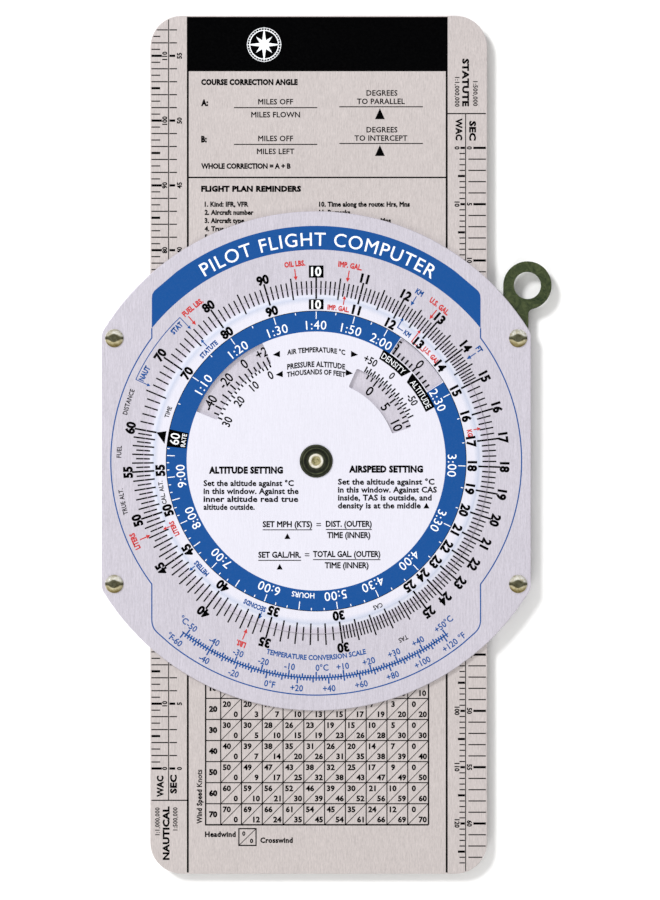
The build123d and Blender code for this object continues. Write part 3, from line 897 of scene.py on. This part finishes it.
def ruler_tick(x0, x1, y, width):
    """Tick between x0 and x1, cut short where the slide's corner is rounded."""
    near = min(SLIDE_TOP - y, y - SLIDE_BOTTOM)
    inset = corner_cut(near)
    if inset:
        x0 = max(x0, SLIDE_LEFT + inset + EDGE_MARGIN)
        x1 = min(x1, SLIDE_RIGHT - inset - EDGE_MARGIN)
    if near > EDGE_MARGIN and x1 - x0 > 0.2:
        slide_black.line(x0, y, x1, y, width)


THICK_TICK, THIN_TICK = 0.66, 0.32
NUMBER_GAP = 8.0


def ruler(base, inward, zero, mile, count, numbered, reaches, number_reach):
    """Map scale that runs up for inward 1 (left edge) and down for -1; reaches are the tick
    lengths of every tenth, fifth, even and odd mile."""
    for n in range(count):
        y = zero + inward * n * mile
        rank = 0 if n % 10 == 0 else 1 if n % 5 == 0 else 2 + n % 2
        tip = base + inward * reaches[rank]
        ruler_tick(min(base, tip), max(base, tip), y, THICK_TICK if rank < 2 else THIN_TICK)
        if n % numbered == 0 and SLIDE_BOTTOM + NUMBER_GAP < y < SLIDE_TOP - NUMBER_GAP:
            x = base + inward * number_reach
            slide_black.text(str(n), x, y, RULER_NUMBER, inward * 90, squeeze=0.95, weight=0.04)


SECTIONAL_NAUTICAL, SECTIONAL_STATUTE = 2 * NAUTICAL_MILE, 2 * STATUTE_MILE
ruler(SLIDE_LEFT + EDGE_MARGIN, 1, NAUTICAL_ZERO, NAUTICAL_MILE, 116, 10, (3.0, 2.5, 4.7, 2.5), 3.8)
ruler(LEFT_THIN + 0.25, 1, NAUTICAL_ZERO, SECTIONAL_NAUTICAL, 58, 5, (1.65, 1.65, 2.15, 2.15), 2.85)
ruler(RIGHT_THIN - 0.2, -1, STATUTE_ZERO, STATUTE_MILE, 128, 10, (1.3, 2.0, 1.55, 1.55), 2.25)
ruler(SLIDE_RIGHT - EDGE_MARGIN, -1, STATUTE_ZERO, SECTIONAL_STATUTE, 64, 5, (3.6, 3.6, 5.0, 5.0), 4.7)

STRIP_WORDS = [
    ("WAC", -44.6, -93.0, 6.1, 90, True), ("SEC", -40.8, -92.4, 5.4, 90, True),
    ("NAUTICAL", -42.9, -106.4, 15.3, 90, True), ("1:1,000,000", -45.4, -103.0, 7.9, 90, False),
    ("1:500,000", -40.3, -102.3, 6.6, 90, False), ("WAC", 40.8, 94.8, 6.3, -90, True),
    ("SEC", 44.7, 94.4, 5.7, -90, True), ("STATUTE", 42.7, 108.2, 13.7, -90, True),
    ("1:1,000,000", 40.3, 105.5, 8.5, -90, False), ("1:500,000", 45.5, 105.0, 7.1, -90, False),
]
for word, x, y, width, angle, bold in STRIP_WORDS:
    height, weight = (1.95, 0.054) if bold else (1.3, 0.026)
    slide_black.text(word, x, y, height, angle, weight=weight, spacing=1.08, width=width)

# Black heading band with a plain compass star
BAND_FOOT = 111.4
slide_black.add(box_shape(LEFT_THICK, BAND_FOOT, RIGHT_THICK, SLIDE_TOP - EDGE_MARGIN))
STAR_X, STAR_Y = -14.9, 119.0
STAR_LONG, STAR_SHORT, STAR_WAIST = 5.2, 3.3, 1.1
for point in range(8):
    tip = STAR_SHORT if point % 2 else STAR_LONG
    kite = [(0, 0), (STAR_WAIST / 2, STAR_WAIST), (0, tip), (-STAR_WAIST / 2, STAR_WAIST)]
    slide_white.add(polygon(turned(kite, -45 * point, STAR_X, STAR_Y)))
for radius, width in ((4.1, 0.28), (4.8, 0.16)):
    slide_white.add(stroke(arc_points(radius, 0, 359, 6), width, True), STAR_X, STAR_Y)
for degree in range(0, 360, 10):
    if degree % 90:
        slide_white.add(ray(degree, 4.1, 4.8, 0.14), STAR_X, STAR_Y)

# Working blocks above the plate
HEAD = {"weight": 0.068, "spacing": 1.09, "anchor": "left"}
LIST = {"squeeze": 0.92, "weight": 0.052, "spacing": 1.04, "anchor": "left"}
PLAIN = {"squeeze": 0.98, "weight": 0.022, "spacing": 1.04}
TEXT_LEFT = -32.9
LIST_STEP = 2.34
RULE = 0.42


def listing(entries, x, top):
    for row, entry in enumerate(entries):
        slide_black.text(entry, x, top - row * LIST_STEP, 1.5, **LIST)


def divider(y):
    slide_black.line(LEFT_THICK, y, RIGHT_THICK, y, RULE)


slide_black.text("COURSE CORRECTION ANGLE", TEXT_LEFT, 108.3, 1.75, width=27.6, **HEAD)
slide_black.text("A:", TEXT_LEFT, 102.4, 1.95, **HEAD)
slide_black.text("B:", TEXT_LEFT, 92.0, 1.95, **HEAD)
for y, below, aim in ((101.0, "MILES FLOWN", "TO PARALLEL"), (90.5, "MILES LEFT", "TO INTERCEPT")):
    slide_black.text("MILES OFF", -11.6, y + 1.7, 1.6, **PLAIN)
    slide_black.line(-23.5, y, 0.3, y, 0.28)
    slide_black.text(below, -11.6, y - 2.0, 1.6, **PLAIN)
    slide_black.text("DEGREES", 18.8, y + 4.2, 1.6, **PLAIN)
    slide_black.text(aim, 18.5, y + 1.8, 1.6, **PLAIN)
    slide_black.line(6.6, y + 0.25, 30.5, y + 0.25, 0.28)
    marker(slide_black, 18.2, y - 0.2, 1.42, 3.1)
slide_black.text("WHOLE CORRECTION = A + B", TEXT_LEFT, 84.3, 1.6, weight=0.05, width=25.6, anchor="left")
divider(81.05)
slide_black.text("FLIGHT PLAN REMINDERS", TEXT_LEFT, 77.8, 1.75, width=28.6, **HEAD)
listing(["1. Kind: IFR, VFR", "2. Aircraft number", "3. Aircraft type", "4. True airspeed",
         "5. Starting point", "6. Time of departure", "7. Cruising altitude", "8. Route of flight",
         "9. Destination"], -31.9, 73.4)
listing(["10. Time along the route: Hrs, Mns", "11. Remarks", "12. Fuel on board: Hrs, Mns",
         "13. Alternate airport", "14. Pilot", "15. People on board", "16. Aircraft colour"], 0.8, 73.4)
divider(50.2)
slide_black.text("POSITION REPORT", TEXT_LEFT, 46.6, 1.75, **HEAD)
listing(["1. Call sign", "2. Position", "3. Time", "4. Altitude", "5. Flight plan",
         "6. Next position and time"], -31.5, 42.4)
divider(26.2)
slide_black.text("CONVERSIONS", TEXT_LEFT, 22.6, 1.75, **HEAD)
listing(["1 nautical mile = 1.15 statute miles", "1 U.S. gallon = 3.79 litres",
         "1 gallon of fuel = 6 pounds", "1 kilogram = 2.2 pounds", "1 metre = 3.28 feet"], -31.5, 18.4)
divider(5.0)

# Crosswind table: wind speed down the side, wind angle along the top
TABLE_LEFT, TABLE_FIRST, TABLE_STEP_X, TABLE_STEP_Y, TABLE_FOOT = -31.6, -27.3, 5.94, 6.02, -104.0
WIND_ANGLES = list(range(0, 91, 10))
WIND_SPEEDS = list(range(70, 0, -10))
table_right = TABLE_FIRST + TABLE_STEP_X * len(WIND_ANGLES)
table_top = TABLE_FOOT + TABLE_STEP_Y * (len(WIND_SPEEDS) + 1)
table_rows = [TABLE_FOOT + TABLE_STEP_Y * i for i in range(len(WIND_SPEEDS) + 2)]
for i, y in enumerate(table_rows):
    outside = i in (0, len(table_rows) - 1)
    slide_black.line(TABLE_LEFT, y, table_right, y, RULE if outside else 0.3)
slide_black.line(TABLE_LEFT, TABLE_FOOT - 0.2, TABLE_LEFT, table_top + 0.2, RULE)
for column in range(len(WIND_ANGLES) + 1):
    x = TABLE_FIRST + TABLE_STEP_X * column
    slide_black.line(x, TABLE_FOOT, x, table_top, RULE if column == len(WIND_ANGLES) else 0.3)
CELL = {"squeeze": 1.05, "weight": 0.046, "spacing": 1.02}
for y, speed in zip(table_rows, WIND_SPEEDS):
    slide_black.text(str(speed), (TABLE_LEFT + TABLE_FIRST) / 2, y + TABLE_STEP_Y / 2, 1.75,
                     squeeze=1.05, weight=0.062)
    for column, angle in enumerate(WIND_ANGLES):
        x = TABLE_FIRST + TABLE_STEP_X * column
        turn = math.radians(angle)
        slide_black.line(x, y, x + TABLE_STEP_X, y + TABLE_STEP_Y, 0.2)
        slide_black.text(str(round(speed * math.cos(turn))), x + 1.75, y + 4.4, 1.68, **CELL)
        slide_black.text(str(round(speed * math.sin(turn))), x + 4.3, y + 1.5, 1.68, **CELL)
for column, angle in enumerate(WIND_ANGLES):
    x = TABLE_FIRST + TABLE_STEP_X * (column + 0.5)
    slide_black.text(f"{angle}°", x, table_top - TABLE_STEP_Y / 2, 1.6, squeeze=0.84, weight=0.03)
slide_black.text("Wind angle", table_right / 2, table_top + 2.4, 1.6, squeeze=0.84, weight=0.02)
slide_black.text("Wind Speed", -33.4, -98.8, 1.55, 90, weight=0.045, spacing=1.08, width=9.8)
slide_black.text("Knots", -33.4, -90.7, 1.55, 90, weight=0.025, width=5.0)
slide_black.text("Headwind", -27.4, -106.7, 1.6, weight=0.046, spacing=1.08, width=8.8)
slide_black.text("Crosswind", -11.35, -108.4, 1.6, weight=0.046, spacing=1.08, width=9.3)
KEY_LEFT, KEY_LOW, KEY_RIGHT, KEY_HIGH = -22.1, -109.9, -17.2, -105.1
key_box, _ = box_shape(KEY_LEFT, KEY_LOW, KEY_RIGHT, KEY_HIGH)
slide_black.add(stroke(key_box, 0.34, closed=True))
slide_black.line(KEY_LEFT, KEY_LOW, KEY_RIGHT, KEY_HIGH, 0.2)
slide_black.text("0", KEY_LEFT + 1.4, KEY_HIGH - 1.4, 1.3, **CELL)
slide_black.text("0", KEY_RIGHT - 1.3, KEY_LOW + 1.3, 1.3, **CELL)

# ------ wind side, seen from behind
BACK_SHEETS = sheets("back_print", "body", flat(BACK_FACE), {"black": 0, "blue": 0, "white": 1}, True)
back_black, back_blue, back_white = BACK_SHEETS
ring_black = Print("azimuth_print_black", "azimuth_disc", "ink_black", flat(AZIMUTH_FACE), looks_down=True)
grid_blue = Print("wind_grid_print", "slide", "ink_blue", flat(SLIDE_BACK), looks_down=True)
window_black = Print("window_print_black", "azimuth_disc", "ink_black", flat(WINDOW_FACE), looks_down=True)

RING_EDGE, BACK_EDGE = 49.7, 51.0
DEGREE_NUMBER = {"height": 2.1, "squeeze": 0.75, "weight": 0.012}


def degree_tick(ink, degree, edge, outward):
    """Compass tick that starts at the edge and is longest at every tenth degree."""
    reach = 2.6 if degree % 10 == 0 else 1.9 if degree % 5 == 0 else 1.1
    ends = sorted((edge, edge + outward * reach))
    ink.add(ray(degree, *ends, 0.3 if degree % 10 == 0 else 0.16))


for degree in range(360):
    degree_tick(ring_black, degree, RING_EDGE, -1)
COMPASS = {0: "N", 90: "E", 180: "S", 270: "W"}
for degree in range(0, 360, 10):
    if degree in COMPASS:
        ring_black.arc_text(COMPASS[degree], 44.3, degree, 3.4, squeeze=0.9, weight=0.03)
    else:
        ring_black.arc_text(str(degree), 45.0, degree, **DEGREE_NUMBER)
ring_black.add(ring_shape(40.9, 41.1))
window_black.add(ring_shape(2.9, 3.1))
for degree in range(0, 360, 90):
    window_black.add(ray(degree, 4.2, 38.5, 0.12))

back_blue.add(title_band())
back_white.arc_text("WIND SIDE", 63.6, 0, 3.3, squeeze=0.92, weight=0.008, spacing=1.12)
for degree in range(-50, 51):
    degree_tick(back_black, degree, BACK_EDGE, 1)
    if degree % 10 == 0 and degree:
        back_black.arc_text(str(abs(degree)), 55.2, degree, **DEGREE_NUMBER)
back_black.add(polygon([clock_point(BACK_EDGE, 0), clock_point(54.0, -1.5), clock_point(54.0, 1.5)]))
back_black.arc_text("TRUE INDEX", 56.6, 0, 2.0)
for word, clock in (("DRIFT LEFT", -22), ("DRIFT RIGHT", 22)):
    back_black.arc_text(word, 57.6, clock, 1.7, weight=0.01)
for degree in (90, 180, 270):
    back_black.add(ray(degree, BACK_EDGE, 54.0, 0.3))

GRID_HUB_Y = -190.0
GRID_LOW_SPEED = 70
GRID_SPEED_STEP = 1.05


def inside_slide(x, y):
    margin = 4.5
    return (SLIDE_LEFT + margin < x < SLIDE_RIGHT - margin
            and SLIDE_BOTTOM + margin < y < SLIDE_TOP - margin)


def clipped(points):
    """The runs of a path that lie on the slide's back."""
    run = []
    for x, y in points:
        if inside_slide(-x, y):
            run.append((x, y))
        else:
            if len(run) > 1:
                yield run
            run = []
    if len(run) > 1:
        yield run


for speed in range(GRID_LOW_SPEED, 290, 2):
    radius = speed * GRID_SPEED_STEP
    width = 0.3 if speed % 10 == 0 else 0.12
    arc = [(x, y + GRID_HUB_Y) for x, y in arc_points(radius, -60, 60, 120 / radius)]
    for run in clipped(arc):
        grid_blue.add(stroke(run, width))
    if speed % 10 == 0 and inside_slide(0, radius + GRID_HUB_Y + 1.4):
        grid_blue.text(str(speed), 0.0, radius + GRID_HUB_Y + 1.5, 1.8)
for drift in range(-40, 41):
    width = 0.3 if drift % 10 == 0 else 0.2 if drift % 5 == 0 else 0.1
    path = [(r * math.sin(math.radians(drift)), r * math.cos(math.radians(drift)) + GRID_HUB_Y)
            for r in range(74, 330, 2)]
    for run in clipped(path):
        if drift % 2 == 0 or run[0][1] > 0:
            grid_blue.add(stroke([run[0], run[-1]], width))

FRONT_SHEETS = PLATE_SHEETS + DISC_SHEETS + SLIDE_SHEETS
for sheet in FRONT_SHEETS + [grid_blue, ring_black, window_black] + BACK_SHEETS:
    sheet.build(grey_ink if sheet is window_black else INKS[sheet.slot])

# The closed end of the hollow eyelet, seen down its bore
EYELET_BORE, EYELET_FLOOR = 1.24, 5.0
eyelet_end = Print("eyelet_end", "body", "nickel_brass", flat(EYELET_FLOOR))
eyelet_end.add(polygon(arc_points(EYELET_BORE, 345, 0, 15.0)))
eyelet_end.build(eyelet_brass)

# ------ floor, light and camera
paper = Skin("floor_paper")
fibres = paper.noise((40, 40, 40), detail=4.0)
paper.finish(paper.ramp(fibres, [(0.3, (0.97, 0.97, 0.97)), (0.7, WHITE)]), Roughness=0.9)
bpy.ops.mesh.primitive_plane_add(size=6.0, location=(0, 0, -0.0002))
floor = bpy.context.object
floor.name = "floor"
floor.data.materials.append(paper.material)

world = bpy.data.worlds.new("studio")
world.use_nodes = True
sky = NodeTree(world.node_tree, "Generated")
SKY_STRENGTH = 0.68
dome = sky.ramp(sky.axis(sky.place, "Z"), [(0.15, (0.42, 0.42, 0.44)), (0.75, WHITE)])
# Away from the window side, towards -Y, the room is dimmer and warmer
depth = sky.remap(sky.axis(sky.place, "Y"), -0.6, 0.6, 0.0, 1.0)
room = sky.ramp(depth, [(0.0, (0.62, 0.60, 0.54)), (0.5, WHITE)])
background = sky.tree.nodes["Background"]
sky.tree.links.new(sky.multiplied(dome, room), background.inputs["Color"])
background.inputs["Strength"].default_value = SKY_STRENGTH
bpy.context.scene.world = world
bpy.context.scene.view_settings.view_transform = "Standard"


def soft_light(name, location, size, power):
    data = bpy.data.lights.new(name, "AREA")
    data.shape = "DISK"
    data.size = size
    data.energy = power
    light = bpy.data.objects.new(name, data)
    light.location = location
    light.visible_glossy = False
    light.rotation_euler = (Vector(location)).to_track_quat("Z", "Y").to_euler()
    bpy.context.scene.collection.objects.link(light)


soft_light("key_light", (-1.15, 1.1, 1.6), 0.6, 41.0)
soft_light("fill_light", (-0.5, -1.4, 1.3), 1.2, 15.0)

VIEW_CENTRE = (3.94, 3.14)
VIEW_HEIGHT = 256.8
LENS, SENSOR = 100.0, 36.0
camera_data = bpy.data.cameras.new("camera")
camera_data.lens = LENS
camera_data.sensor_width = SENSOR
camera_data.clip_start = 0.01
camera = bpy.data.objects.new("camera", camera_data)
camera_height = VIEW_HEIGHT * LENS / SENSOR + PLATE_FACE
camera.location = (PIVOT.x + VIEW_CENTRE[0] * MM, PIVOT.y + VIEW_CENTRE[1] * MM, camera_height * MM)
bpy.context.scene.collection.objects.link(camera)
bpy.context.scene.camera = camera
